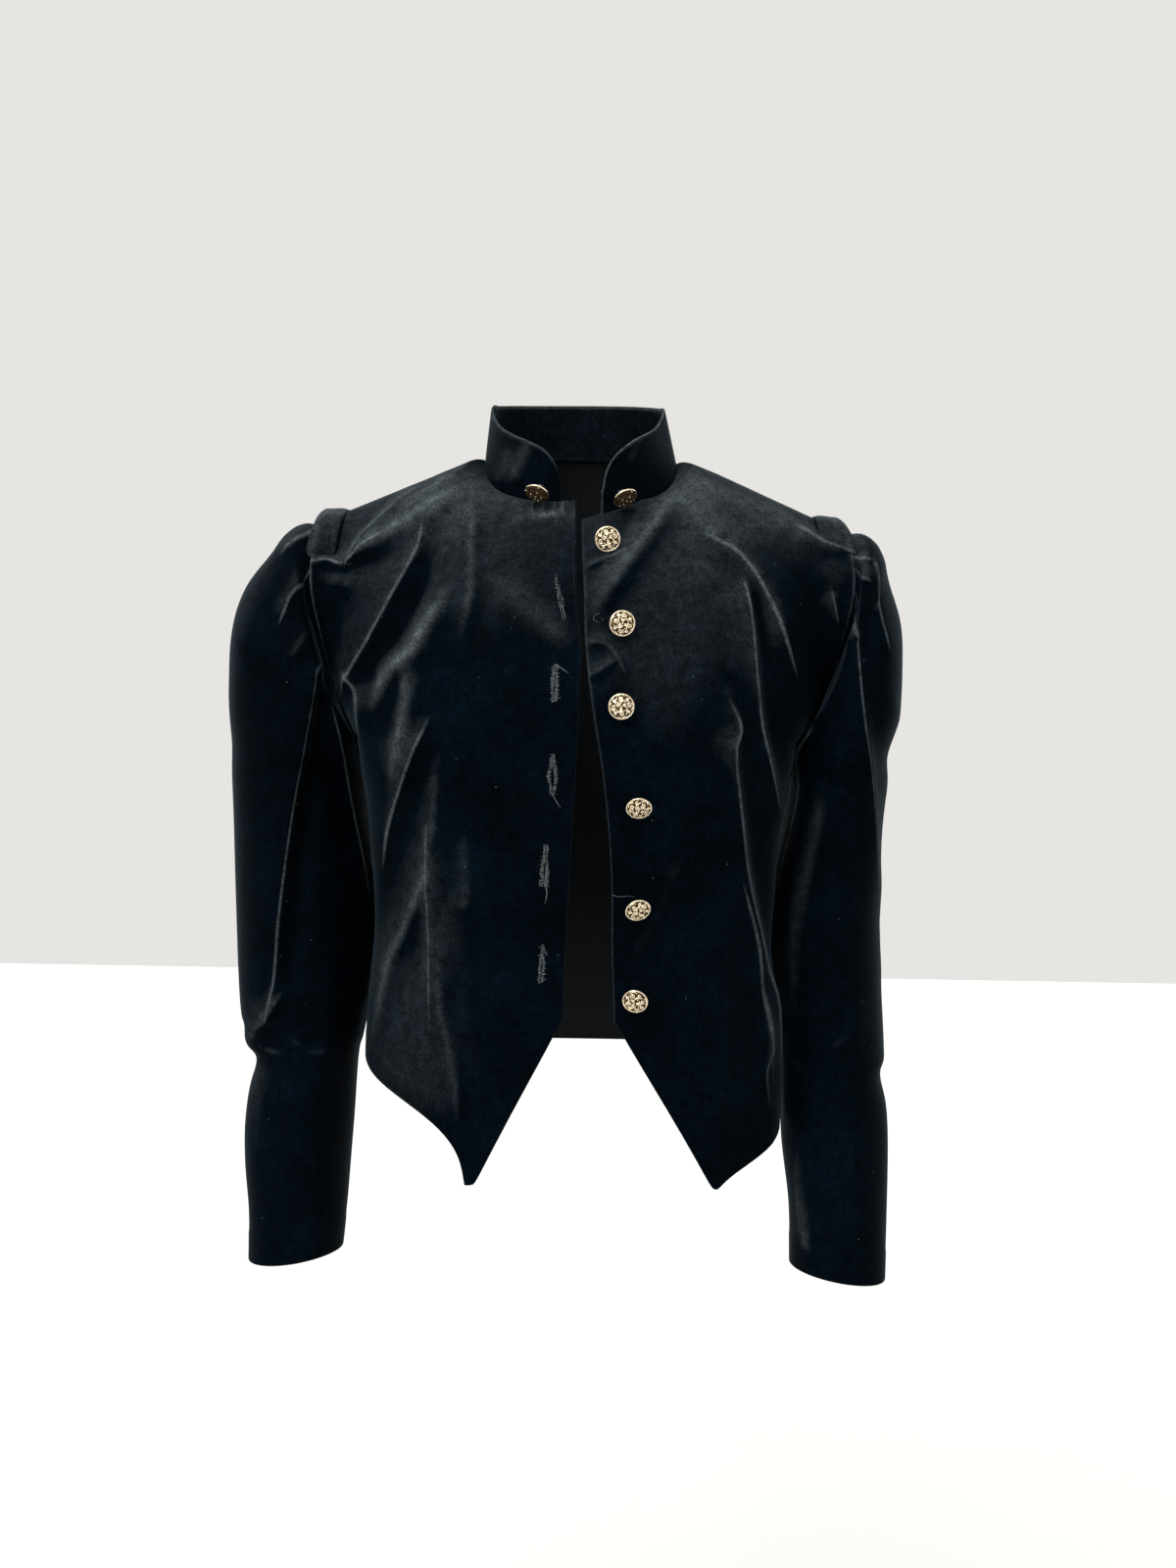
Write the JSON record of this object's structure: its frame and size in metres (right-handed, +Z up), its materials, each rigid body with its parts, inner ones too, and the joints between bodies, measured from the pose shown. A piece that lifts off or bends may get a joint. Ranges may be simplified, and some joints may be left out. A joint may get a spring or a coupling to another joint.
{
  "type": "cropped velvet jacket",
  "caption": "Cropped black velvet jacket in worn form: stand collar, full pleated sleeve heads, pointed front hem and domed metal shank buttons, left open.",
  "frame": {"origin": "middle of the neck base between the two shoulder seams, where the wearer's shoulders carry the jacket", "axes": "+Z up, the front faces -Y, +X is the wearer's left"},
  "size_m": [0.5328, 0.2468, 0.6816],
  "materials": {
    "velvet": "matt pile with a soft sheen",
    "brass": "pressed and gilt"
  },
  "bodies": {
    "root": {"front_right": "velvet", "front_left": "velvet", "back": "velvet", "sleeve_right": "velvet", "sleeve_left": "velvet", "shoulder_pleat_right": "velvet", "shoulder_pleat_left": "velvet", "collar": "velvet", "button_1": "brass", "button_2": "brass", "button_3": "brass", "button_4": "brass", "button_5": "brass", "button_6": "brass", "collar_button_right": "brass", "collar_button_left": "brass"}
  },
  "joints": []
}
